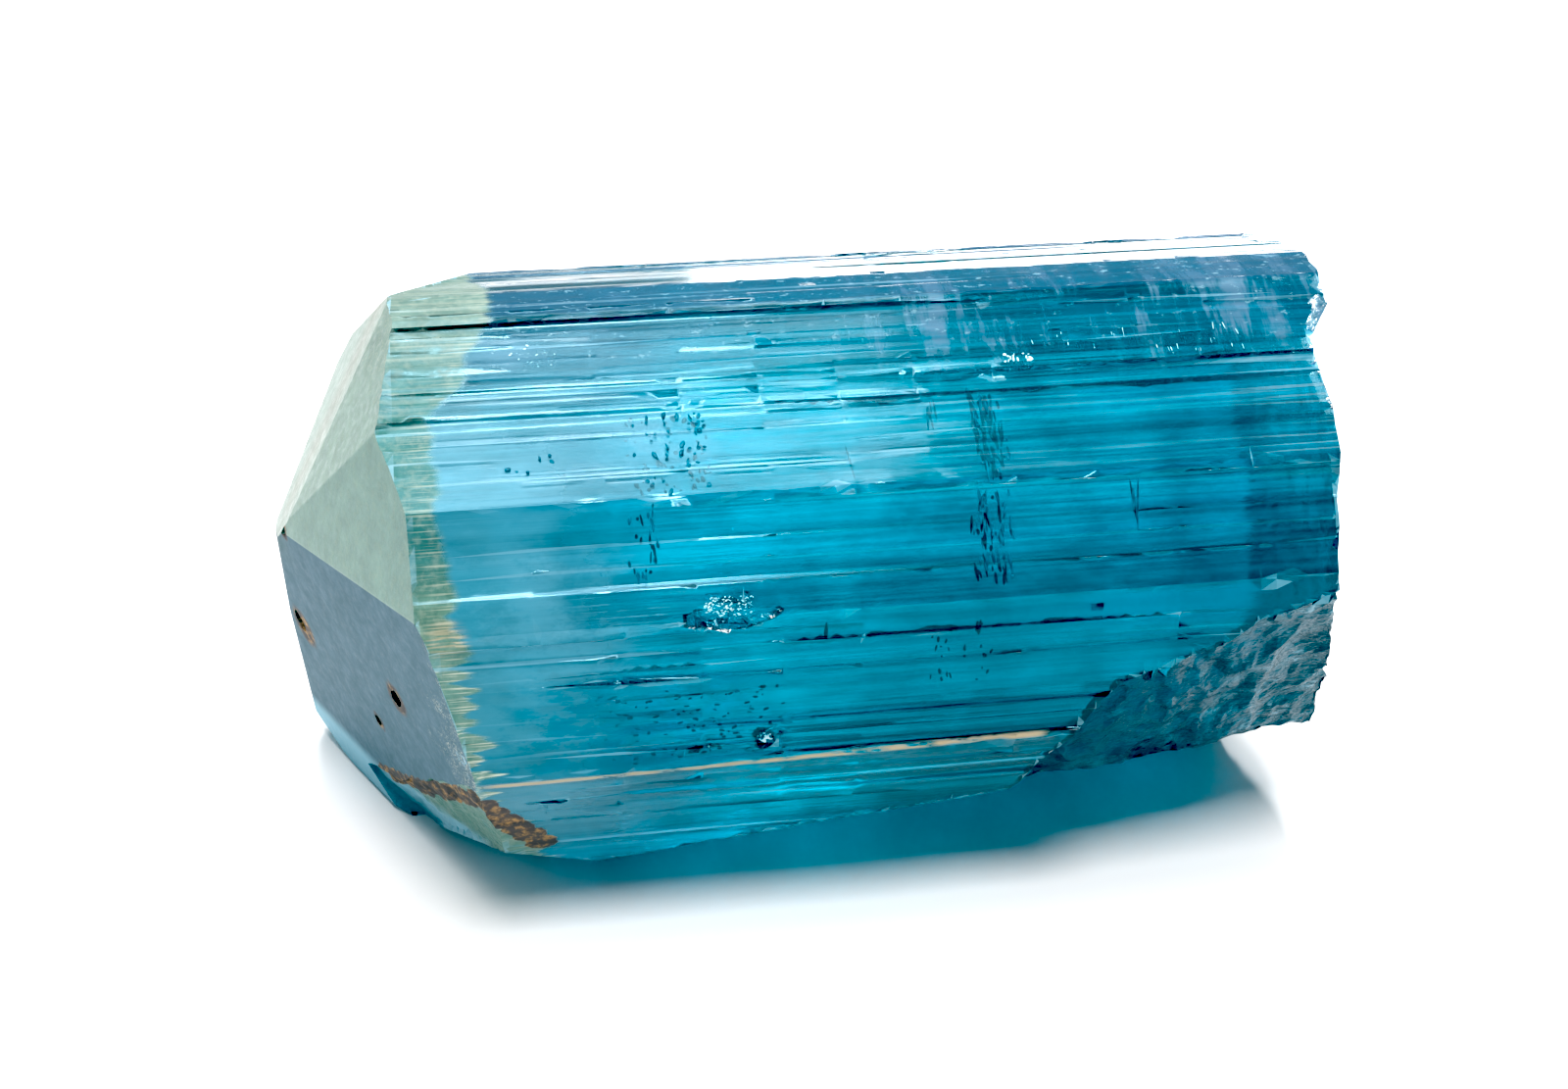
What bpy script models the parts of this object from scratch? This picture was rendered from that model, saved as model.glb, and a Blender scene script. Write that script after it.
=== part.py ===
"""A blue tourmaline crystal: a grooved prism, a cap of flat faces and a broken end.

The crystal lies along X, with its cap at the -X end and its broken end at the +X end. -Y is the
front and +Z is up. While it is shaped, the tip of the cap is the origin. At the end it is moved,
so that the middle of its underside is the origin.

Every face is a plane. Its turn is the way that it looks, in degrees from the front (-Y) upwards,
its lean is the angle between its outward direction and the -X axis, and its distance is measured
from the tip.
"""

import math
import random
from collections import namedtuple

import bmesh
import bpy
from mathutils import Vector, noise

MM = 0.001
SEED = 7

LongFace = namedtuple("LongFace", "turn distance strips groove")
CapFace = namedtuple("CapFace", "turn lean distance")
Break = namedtuple("Break", "face middle size cell relief scarp")
Chip = namedtuple("Chip", "place radii")

# The long faces, in order round the crystal. A face has a number of strips, which fine ledges
# part, and the deepest of the strips lies this far under the face.
LONG_FACES = (
    LongFace(-90, 10.05 * MM, 1, 0.0),
    LongFace(-30, 9.69 * MM, 8, 0.09 * MM),
    LongFace(0, 9.09 * MM, 11, 0.09 * MM),
    LongFace(30, 8.39 * MM, 5, 0.06 * MM),
    LongFace(60, 7.12 * MM, 15, 0.10 * MM),
    LongFace(90, 7.16 * MM, 4, 0.05 * MM),
    LongFace(102, 7.00 * MM, 5, 0.05 * MM),
    LongFace(122, 7.65 * MM, 5, 0.09 * MM),
    LongFace(150, 7.90 * MM, 9, 0.11 * MM),
    LongFace(180, 8.30 * MM, 9, 0.10 * MM),
    LongFace(210, 8.90 * MM, 10, 0.11 * MM),
    LongFace(240, 9.70 * MM, 6, 0.09 * MM),
)
RING_START = -1.5 * MM
RING_END = 34.0 * MM
RINGS = 17
LEDGE_WIDTH = 0.09 * MM
GROOVE_FADE = 3.0 * MM
EDGE_WEAR = 0.05 * MM
WEAR_LENGTH = 2.3 * MM

# The flat underside that the crystal rests on, just inside its worn edges.
UNDERSIDE = CapFace(-90, 90, 9.99 * MM)

# The faces of the cap, and the worn faces that round its rim.
CAP_FACES = (
    CapFace(95, 28, -0.10 * MM),
    CapFace(75, 29, 0.00 * MM),
    CapFace(28.5, 27, 0.00 * MM),
    CapFace(-22.5, 29.5, 0.00 * MM),
    CapFace(180, 25, 1.95 * MM),
    CapFace(-12.5, 10, 0.05 * MM),
    CapFace(-40, 5, 0.35 * MM),
    CapFace(113.5, 66, 4.50 * MM),
    CapFace(110, 77, 5.75 * MM),
    CapFace(-72, 48, 5.80 * MM),
    CapFace(-67, 57, 6.40 * MM),
    CapFace(-60, 77, 8.40 * MM),
)

# The broken end: a slope through the front edge, rough, with a ledge left standing along the top
# and a toe that runs out at the foot of the front edge.
BREAK_AT_FRONT = 29.75 * MM
BREAK_SLOPE = 0.09
BREAK_RELIEF = 0.42 * MM
BREAK_LEDGE = 0.75 * MM
BREAK_LEDGE_HEIGHT = 6.3 * MM
BREAK_LEDGE_WANDER = 0.8 * MM
BREAK_LEDGE_LENGTH = 2.1 * MM
BREAK_TOE = 1.15 * MM
BREAK_TOE_TOP = 0.5 * MM
BREAK_TOE_RISE = 4.8 * MM
BREAK_TOE_BACK = -1.0 * MM
BREAK_TOE_FADE = 3.0 * MM
BREAK_MIDDLE_HEIGHT = -1.3 * MM
BREAK_SPAN = 22.0 * MM
BREAK_CELL = 0.62 * MM
CUTTER_DEPTH = 8.0 * MM

# The other broken surfaces: the scoop at the front of the broken end, which begins at a scarp,
# the break under the rim of the cap and the sloping lower front. Each follows a face. It has its
# middle at this X, a length and a width, cells of this size, a relief and the X of its scarp.
BREAKS = (
    Break(CapFace(-24.5, 98.5, 12.46 * MM), 26.5 * MM, (14.0 * MM, 9.5 * MM), 0.50 * MM,
          0.40 * MM, 22.8 * MM),
    Break(CapFace(-39, 42.5, 2.35 * MM), 3.0 * MM, (14.0 * MM, 14.0 * MM), 0.54 * MM,
          0.20 * MM, None),
    Break(CapFace(-60, 96, 11.50 * MM), 19.0 * MM, (32.0 * MM, 14.0 * MM), 0.88 * MM,
          0.14 * MM, None),
)
SCARP_RISE = 1.6 * MM
SCARP_WIDTH = 0.9 * MM
SCARP_LEAN = 0.5
SCARP_FOOT_HEIGHT = -3.0 * MM

# A broken surface is made of broad shells, sharp ridges and fine grain: the share and the size
# of each, and how far below the highest point the mean surface lies.
SHELL_SHARE, SHELL_SIZE = 0.45, 4.5 * MM
RIDGE_SHARE, RIDGE_SIZE = 0.35, 1.7 * MM
GRAIN_SHARE, GRAIN_SIZE = 0.20, 0.8 * MM
RIDGE_OFFSET = Vector((5.2, 1.3, 8.1))
BREAK_SINK = 0.28

# Pits in the cap, and chips out of the long faces and their edges.
CHIPS = (
    Chip((3.30, -5.10, -3.15), (0.22, 0.42, 0.34)),
    Chip((-0.05, 1.30, -4.20), (0.30, 0.50, 0.62)),
    Chip((2.50, -2.70, -5.40), (0.15, 0.26, 0.22)),
    Chip((0.10, -0.40, 0.10), (0.15, 0.30, 0.24)),
    Chip((12.60, -9.05, 1.15), (1.15, 0.22, 0.45)),
    Chip((13.50, -9.12, -2.95), (0.28, 0.20, 0.30)),
    Chip((7.60, -8.45, -4.90), (0.60, 0.16, 0.12)),
    Chip((11.20, 4.35, 6.30), (0.90, 0.22, 0.14)),
    Chip((14.10, 4.35, 6.32), (1.30, 0.20, 0.16)),
    Chip((18.30, 4.35, 6.30), (0.80, 0.24, 0.17)),
    Chip((21.20, 4.35, 6.32), (1.60, 0.20, 0.14)),
    Chip((26.40, 4.35, 6.30), (0.70, 0.22, 0.16)),
)
CHIP_ROUGHNESS = 0.35
CHIP_BUMPS = 1.9

CRYSTAL_COLOUR = (0.02, 0.30, 0.42, 1.0)
CRYSTAL_ROUGHNESS = 0.08
CRYSTAL_CLEARNESS = 0.8
TOURMALINE_IOR = 1.63
SNAP = 1e-8


def clear_scene():
    """Remove whatever the file holds."""
    for item in list(bpy.data.objects):
        bpy.data.objects.remove(item, do_unlink=True)


def outward(turn, lean=90.0):
    """The outward direction of a face."""
    turn, lean = math.radians(turn), math.radians(lean)
    across = math.sin(lean)
    return Vector((-math.cos(lean), -across * math.cos(turn), across * math.sin(turn)))


def corner(face, following):
    """Where two neighbouring long faces meet, in the plane across the crystal."""
    first, second = outward(face.turn), outward(following.turn)
    size = first.y * second.z - first.z * second.y
    y = (face.distance * second.z - following.distance * first.z) / size
    z = (following.distance * first.y - face.distance * second.y) / size
    return Vector((0.0, y, z))


def strip_edges(rng, strips):
    """Fractions of a face's width at which its ledges lie, unevenly spaced."""
    widths = [rng.uniform(0.4, 1.6) for _ in range(strips)]
    total = sum(widths)
    return [sum(widths[:count]) / total for count in range(1, strips)]


def groove_depth(x, start, end):
    """How far a groove is cut at x, from 0 to 1: it fades in and out along the crystal."""
    rise = min(max((x - start) / GROOVE_FADE, 0.0), 1.0)
    fall = min(max((end - x) / GROOVE_FADE, 0.0), 1.0)
    return rise * fall


def profile(rng):
    """The outline across the crystal: base point, inward direction, depth, start and end."""
    points = []
    count = len(LONG_FACES)
    for index, face in enumerate(LONG_FACES):
        begin = corner(LONG_FACES[index - 1], face)
        finish = corner(face, LONG_FACES[(index + 1) % count])
        inward = -outward(face.turn)
        points.append((begin, (-begin).normalized(), None, 0.0, 0.0))
        half = 0.5 * LEDGE_WIDTH / (finish - begin).length
        strips = [(0.0, 0.0, 0.0)]
        for _ in range(face.strips - 2):
            start = rng.uniform(-6.0, 16.0) * MM
            end = start + rng.uniform(12.0, 30.0) * MM
            strips.append((face.groove * rng.uniform(0.3, 1.0), start, end))
        strips.append((0.0, 0.0, 0.0))
        for number, fraction in enumerate(strip_edges(rng, face.strips)):
            for side, strip in ((-half, strips[number]), (half, strips[number + 1])):
                points.append((begin.lerp(finish, fraction + side), inward) + strip)
    return points


def ring_point(point, x):
    """One point of the ring at x."""
    base, inward, depth, start, end = point
    if depth is None:
        wear = noise.noise(Vector((x, base.y, base.z)) / WEAR_LENGTH)
        sunk = EDGE_WEAR * (0.5 + 0.5 * wear)
    else:
        sunk = depth * groove_depth(x, start, end)
    return Vector((x, base.y, base.z)) + inward * sunk


def build_prism(bm):
    """The grooved prism, longer than the crystal at both ends."""
    points = profile(random.Random(SEED))
    step = (RING_END - RING_START) / (RINGS - 1)
    rings = []
    for number in range(RINGS):
        x = RING_START + number * step
        rings.append([bm.verts.new(ring_point(point, x)) for point in points])
    for left, right in zip(rings, rings[1:]):
        for place in range(len(points)):
            bm.faces.new((left[place - 1], right[place - 1], right[place], left[place]))
    bm.faces.new(rings[0])
    bm.faces.new(reversed(rings[-1]))
    bmesh.ops.recalc_face_normals(bm, faces=bm.faces)


def cut(bm, face):
    """Cut off what lies outside one flat face, and close the solid there."""
    normal = outward(face.turn, face.lean)
    geometry = bm.verts[:] + bm.edges[:] + bm.faces[:]
    bmesh.ops.bisect_plane(bm, geom=geometry, dist=SNAP, plane_co=normal * face.distance,
                           plane_no=normal, clear_outer=True)
    rim = [edge for edge in bm.edges if edge.is_boundary]
    bmesh.ops.contextual_create(bm, geom=rim)


def slab(centre, across, along, size, cell, relief, thickness):
    """A closed slab whose near side is rough. It is as thick as the vector thickness."""
    bm = bmesh.new()
    bmesh.ops.create_grid(bm, x_segments=round(size[0] / cell), y_segments=round(size[1] / cell),
                          size=0.5)
    for vert in bm.verts:
        flat = centre + across * (vert.co.x * size[0]) + along * (vert.co.y * size[1])
        vert.co = flat + relief(flat)
    grown = bmesh.ops.extrude_face_region(bm, geom=bm.faces[:])["geom"]
    moved = [item for item in grown if isinstance(item, bmesh.types.BMVert)]
    bmesh.ops.translate(bm, verts=moved, vec=thickness)
    bmesh.ops.recalc_face_normals(bm, faces=bm.faces)
    return new_object("cutter", bm)


def new_object(name, bm):
    """An object from a bmesh, in the scene."""
    mesh = bpy.data.meshes.new(name)
    bm.to_mesh(mesh)
    bm.free()
    item = bpy.data.objects.new(name, mesh)
    bpy.context.collection.objects.link(item)
    return item


def take_away(crystal, cutter):
    """Take the cutter's shape out of the crystal, and remove the cutter."""
    modifier = crystal.modifiers.new("cut", "BOOLEAN")
    modifier.operation = "DIFFERENCE"
    modifier.solver = "EXACT"
    modifier.object = cutter
    shown = crystal.evaluated_get(bpy.context.evaluated_depsgraph_get())
    mesh = bpy.data.meshes.new_from_object(shown)
    crystal.modifiers.remove(modifier)
    crystal.data = mesh
    bpy.data.objects.remove(cutter, do_unlink=True)


def hackle(place):
    """The height of a broken surface at a place, from about -1 to 1."""
    shell = noise.noise(place / SHELL_SIZE)
    ridge = 1.0 - 2.0 * abs(noise.noise(place / RIDGE_SIZE + RIDGE_OFFSET))
    grain = noise.noise(place / GRAIN_SIZE)
    return SHELL_SHARE * shell + RIDGE_SHARE * ridge + GRAIN_SHARE * grain


def toe(place):
    """How far the broken end runs out at a place near the foot of its front edge."""
    down = min(max((BREAK_TOE_TOP - place.z) / BREAK_TOE_RISE, 0.0), 1.0)
    forward = min(max((BREAK_TOE_BACK - place.y) / BREAK_TOE_FADE, 0.0), 1.0)
    return BREAK_TOE * down * forward


def break_end(crystal):
    """Break off the +X end."""
    front = -LONG_FACES[2].distance

    def relief(place):
        slope = BREAK_SLOPE * (place.y - front)
        rough = BREAK_RELIEF * (hackle(place) - BREAK_SINK)
        wander = BREAK_LEDGE_WANDER * noise.noise(Vector((0, place.y, 0)) / BREAK_LEDGE_LENGTH)
        ledge = BREAK_LEDGE if place.z > BREAK_LEDGE_HEIGHT + wander else 0.0
        return Vector((slope + rough + ledge + toe(place), 0.0, 0.0))

    centre = Vector((BREAK_AT_FRONT, 0.0, BREAK_MIDDLE_HEIGHT))
    cutter = slab(centre, Vector((0, 1, 0)), Vector((0, 0, 1)), (BREAK_SPAN, BREAK_SPAN),
                  BREAK_CELL, relief, Vector((CUTTER_DEPTH, 0, 0)))
    take_away(crystal, cutter)


def scarp_height(place, scarp):
    """How far a broken surface is raised in front of its scarp, so that it cuts nothing there."""
    edge = scarp + SCARP_LEAN * (place.z - SCARP_FOOT_HEIGHT)
    return SCARP_RISE * min(max((edge - place.x) / SCARP_WIDTH, 0.0), 1.0)


def break_face(crystal, broken):
    """Break the crystal along a rough surface that follows one face."""
    normal = outward(broken.face.turn, broken.face.lean)
    along = normal.cross(Vector((1, 0, 0))).normalized()
    across = along.cross(normal)
    middle = normal * broken.face.distance
    middle += across * ((broken.middle - middle.x) / across.x)

    def relief(place):
        height = broken.relief * (hackle(place) - BREAK_SINK)
        if broken.scarp is not None:
            height += scarp_height(place, broken.scarp)
        return normal * height

    take_away(crystal, slab(middle, across, along, broken.size, broken.cell, relief,
                            normal * CUTTER_DEPTH))


def chip_out(crystal, chip, number):
    """Take out one pit or chip, of a rough round shape."""
    bm = bmesh.new()
    bmesh.ops.create_icosphere(bm, subdivisions=2, radius=1.0)
    for vert in bm.verts:
        place = vert.co * CHIP_BUMPS + Vector((number, 0, 0))
        bump = 1.0 + CHIP_ROUGHNESS * noise.noise(place)
        vert.co = Vector((vert.co[axis] * chip.radii[axis] * bump for axis in range(3)))
        vert.co = (vert.co + Vector(chip.place)) * MM
    take_away(crystal, new_object("cutter", bm))


def crystal_material():
    """Clear blue-green tourmaline."""
    material = bpy.data.materials.new("tourmaline")
    material.use_nodes = True
    shader = material.node_tree.nodes["Principled BSDF"]
    shader.inputs["Base Color"].default_value = CRYSTAL_COLOUR
    shader.inputs["Roughness"].default_value = CRYSTAL_ROUGHNESS
    shader.inputs["Metallic"].default_value = 0.0
    shader.inputs["IOR"].default_value = TOURMALINE_IOR
    shader.inputs["Transmission Weight"].default_value = CRYSTAL_CLEARNESS
    return material


def settle(crystal):
    """Triangulate the solid, and put the middle of its underside at the origin."""
    bm = bmesh.new()
    bm.from_mesh(crystal.data)
    bmesh.ops.triangulate(bm, faces=bm.faces)
    low = [min(vert.co[axis] for vert in bm.verts) for axis in range(3)]
    high = [max(vert.co[axis] for vert in bm.verts) for axis in range(3)]
    middle = Vector(((low[0] + high[0]) / 2, (low[1] + high[1]) / 2, low[2]))
    bmesh.ops.translate(bm, verts=bm.verts, vec=-middle)
    bm.to_mesh(crystal.data)
    bm.free()
    print("moved by", [round(value / MM, 4) for value in -middle])
    print("size", [round((top - bottom) / MM, 4) for bottom, top in zip(low, high)])
    print("triangles", len(crystal.data.polygons))


def main():
    clear_scene()
    bm = bmesh.new()
    build_prism(bm)
    for face in CAP_FACES + (UNDERSIDE,):
        cut(bm, face)
    crystal = new_object("tourmaline_crystal", bm)
    break_end(crystal)
    for broken in BREAKS:
        break_face(crystal, broken)
    for number, chip in enumerate(CHIPS):
        chip_out(crystal, chip, number)
    settle(crystal)
    crystal.data.materials.clear()
    crystal.data.materials.append(crystal_material())


main()
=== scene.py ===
"""A blue tourmaline crystal on a white table: its clear body, what grew in it, and the stage.

The crystal's frame has +X along the crystal towards its broken end, -Y towards the front and +Z
up. Places on the crystal are given in millimetres from the tip of its cap. A long face is named
by its turn: the way that it looks, in degrees from the front upwards.
"""

import math
from collections import namedtuple

import bmesh
import bpy
from bpy.props import FloatProperty, FloatVectorProperty, PointerProperty
from mathutils import Euler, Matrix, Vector, noise


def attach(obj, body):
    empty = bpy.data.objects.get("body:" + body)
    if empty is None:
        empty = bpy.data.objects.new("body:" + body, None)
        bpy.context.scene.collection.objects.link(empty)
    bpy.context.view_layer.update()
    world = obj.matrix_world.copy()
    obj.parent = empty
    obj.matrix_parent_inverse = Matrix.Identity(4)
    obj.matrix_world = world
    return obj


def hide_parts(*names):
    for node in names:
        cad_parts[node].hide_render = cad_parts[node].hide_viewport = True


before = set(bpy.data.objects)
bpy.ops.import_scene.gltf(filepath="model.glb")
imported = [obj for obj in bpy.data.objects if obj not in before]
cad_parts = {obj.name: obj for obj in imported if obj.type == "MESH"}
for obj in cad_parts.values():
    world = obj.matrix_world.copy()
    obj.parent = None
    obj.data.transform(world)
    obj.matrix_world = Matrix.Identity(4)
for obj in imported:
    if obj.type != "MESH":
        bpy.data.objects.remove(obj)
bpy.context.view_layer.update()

bl_info = {
    "name": "Blue tourmaline crystal",
    "version": (1, 0, 0),
    "blender": (4, 5, 0),
    "location": "3D View > Sidebar > Tourmaline",
    "description": "Builds a clear blue tourmaline crystal, its inclusions and its stage",
    "category": "Add Mesh",
}

MM = 0.001
NODE = "tourmaline_crystal"

# The tip of the cap in the frame, in millimetres.
CAP_TIP = Vector((-15.5163, 0.395, 9.99))

LongFace = namedtuple("LongFace", "turn distance")
CapFace = namedtuple("CapFace", "turn lean distance")
Cluster = namedtuple("Cluster", "turn place spread count low high lean")
Light = namedtuple("Light", "name place aim size mirrored")

# The long faces in order round the crystal: their turn, and their distance from its axis in mm.
LONG_FACES = (
    LongFace(-90, 9.99), LongFace(-30, 9.69), LongFace(0, 9.09), LongFace(30, 8.39),
    LongFace(60, 7.12), LongFace(90, 7.16), LongFace(102, 7.00), LongFace(122, 7.65),
    LongFace(150, 7.90), LongFace(180, 8.30), LongFace(210, 8.90), LongFace(240, 9.70),
)

# The faces of the cap: turn, lean from the crystal's axis, and distance from the tip in mm.
CAP_FACES = (
    CapFace(95, 28, -0.10), CapFace(75, 29, 0.00), CapFace(28.5, 27, 0.00),
    CapFace(-22.5, 29.5, 0.00), CapFace(180, 25, 1.95), CapFace(-12.5, 10, 0.05),
    CapFace(-40, 5, 0.35), CapFace(113.5, 66, 4.50), CapFace(110, 77, 5.75),
    CapFace(-72, 48, 5.80), CapFace(-67, 57, 6.40), CapFace(-60, 77, 8.40),
)
# The lower faces of the cap, which are painted in shade.
SHADED_CAP_FACES = (3, 5, 6, 9, 10)

# What a small face belongs to, and the marks on it that the material reads.
GROWN, CAP, BROKEN = 0, 1, 2
FACE_MARKS = ("broken", "cap_face", "cap_shade", "ledge")

# A small face belongs to a long face or a cap face when its middle is within this reach in mm and
# their normals agree by this cosine. On a long face it hardly slopes along the crystal either.
LONG_REACH, LONG_AGREE, LONG_SLOPE = 0.15, 0.75, 0.06
CAP_REACH, CAP_AGREE = 0.02, 0.99

# The cosines by which a small face is cut with its long face, is flat, and is a ledge's wall.
FACE_AGREE, FLAT_AGREE, LEDGE_AGREE = 0.98, 0.995, 0.96

# A vertex that looks down as far as this lies on the table, and isn't fluted.
REST_FACING = -0.95

# The bends at which an edge is sharp, and at which an edge of the cap is rounded.
SHARP_ANGLE, CAP_EDGE_ANGLE = math.radians(16.0), math.radians(9.0)
CAP_EDGE_SEGMENTS = 3

# How near to a ridge in mm an edge may be sharp, and a vertex is worn.
RIDGE_REACH, WEAR_REACH = 0.16, 0.13

# How near a cut moves to a vertex, and how near two vertices are joined.
SNAP, WELD = 1e-5 * MM, 1e-4 * MM

# The relief of a broken surface: the size in mm and the share of its shells, steps and grain.
SHELL_SIZE, SHELL_SHARE = 1.9, 0.9
STEP_SIZE, STEP_SHARE = 0.85, 0.6
STEP_SHIFT = Vector((3.1, 7.7, 2.9))
GRAIN_SIZE, GRAIN_SHARE = 0.34, 0.25

# The flutes: their length and width in mm, and their share.
WIDE_FLUTE, WIDE_SHARE = (60.0, 0.9), 0.6
NARROW_FLUTE, NARROW_SHARE = (30.0, 0.4), 0.4
NARROW_SHIFT = 5.0

# The nicks along the edges: sizes in mm, and how rare they are. The top edges are hardly nicked.
NICK_SIZE, NICK_SHIFT = 1.3, Vector((9.4, 0.2, 4.4))
NICK_GRAIN_SIZE, NICK_GRAIN_SHARE = 0.35, 0.6
NICK_RARITY, NICK_GAIN = 0.12, 1.6
TOP_HEIGHT, TOP_NICKS = 6.5, 0.25

# Where the blue begins, in mm from the tip, by height: heights from the axis and starts.
BLUE_STARTS = (
    (-8.0, 7.6), (-4.8, 6.4), (-2.9, 5.7), (-2.3, 6.4), (-1.5, 5.6), (-0.4, 6.1),
    (1.2, 5.6), (4.0, 5.3), (5.4, 5.3), (6.2, 6.3), (7.1, 7.0),
)

# The blue along the crystal: distances from the tip in mm, and the names of the colours there.
BLUE_STEPS = ((4.0, "pale"), (9.5, "pale"), (14.0, "middle"), (20.0, "middle"),
              (25.0, "deep"), (29.0, "end"))

# Painted light and shade on the blue by height: the span of heights from the axis in mm, heights and
# shares.
LIGHT_SPAN = (-9.0, 7.2)
PAINTED_LIGHT_BY_HEIGHT = ((-9.0, 0.74), (-4.0, 0.84), (-3.4, 0.40), (0.7, 0.42), (1.6, 0.78),
                   (3.6, 0.96), (4.4, 1.05), (6.0, 1.10), (6.8, 0.80), (7.1, 0.5))

# Iron in the pits: their places and radii, over how many radii it fades, and how far it strays.
PITS = (((3.30, -5.10, -3.15), 0.42), ((0.13, 1.30, -4.20), 0.55),
        ((2.50, -2.70, -5.40), 0.24), ((0.10, -0.40, 0.10), 0.22))
PIT_FADE, PIT_STRAY = 1.6, 0.5

# Iron on the rim of the cap: its line, the step between its spots, their reach and their edge.
RIM_LINE = ((2.4, -1.2, -8.4), (3.4, -3.4, -7.4), (4.5, -5.9, -6.2), (5.6, -8.4, -4.9),
            (7.2, -7.0, -7.3))
RIM_STEP = 0.7
RIM_REACH, RIM_EDGE = (0.80, 0.20), (0.42, 0.56)

# The stained edge, from where to where along the crystal and at what heights, the middle of a
# smear, and how strong and how creamy both are.
STAINED_EDGE = (5.6, 21.7, -3.8, -3.5)
SMEAR_PLACE = (5.1, -8.95, 0.9)
STAIN_STRENGTH, STAIN_CREAM = 0.85, 0.35

# Textures over the surface: the scale along each axis per mm, detail, roughness and shift.
TEXTURES = {
    "grooves": ((0.05, 2.6, 2.6), 4.0, 0.52),
    "fine_grooves": ((0.09, 9.0, 9.0), 3.0, 0.6, (4.0, 0.0, 0.0)),
    "hair": ((0.4, 16.0, 16.0), 2.0, 0.6, (0.0, 5.0, 0.0)),
    "clouds": ((0.28, 0.45, 0.45), 4.0, 0.6),
    "grain": ((3.5, 3.5, 3.5), 4.0, 0.65),
    "teeth": ((0.3, 3.4, 3.4), 3.0),
    "waves": ((0.0, 0.8, 0.8), 1.0),
    "columns": ((1.5, 0.22, 0.22), 4.0, 0.7),
    "curds": ((0.8, 1.4, 1.4), 4.0, 0.72, (1.0, 4.0, 2.0)),
    "lines": ((0.06, 5.5, 5.5), 2.0, 0.5, (7.0, 1.0, 3.0)),
    "highlight_lines": ((0.10, 7.0, 7.0), 2.0, 0.5, (1.0, 9.0, 4.0)),
    "smudges": ((0.8, 2.0, 2.0), 4.0, 0.75),
    "blotches": ((0.45, 0.9, 0.9), 4.0, 0.68, (6.0, 2.0, 8.0)),
    "mottle": ((1.3, 1.3, 1.3), 4.0, 0.75, (3.0, 3.0, 3.0)),
    "specks": ((2.4, 4.5, 4.5), 4.0, 0.7),
    "shells": ((0.9, 1.6, 1.6), 3.0, 0.7),
    "shards": ((1.3, 2.2, 2.2), 4.0, 0.75, (2.0, 8.0, 1.0)),
    "rim_grain": ((1.3, 1.3, 1.3), 3.0, 0.75),
    "rust_gaps": ((0.9, 3.0, 3.0), 3.0, 0.7),
}

# How textures darken and lighten: values of the texture, and shares of the colour.
GROOVE_SHADES = ((0.3, 0.62), (0.5, 0.95), (0.72, 1.35))
FINE_GROOVE_SHADES, FINE_GROOVE_STRENGTH = ((0.32, 0.6), (0.5, 1.0), (0.68, 1.3)), 0.8
BLOTCH_SHADES = ((0.34, 0.66), (0.50, 0.98), (0.66, 1.25))
MILK_SHADES = ((0.35, 0.75), (0.65, 1.15))
MOTTLE_SHADES = ((0.3, 0.78), (0.5, 0.98), (0.7, 1.20))

# What is left of the milk's colour in the haze above, and of the cap's where it is tinted.
HAZE_SHADE = (0.66, 0.62, 0.70, 1.0)
CAP_TINT = (0.80, 0.60, 0.46, 1.0)

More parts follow.
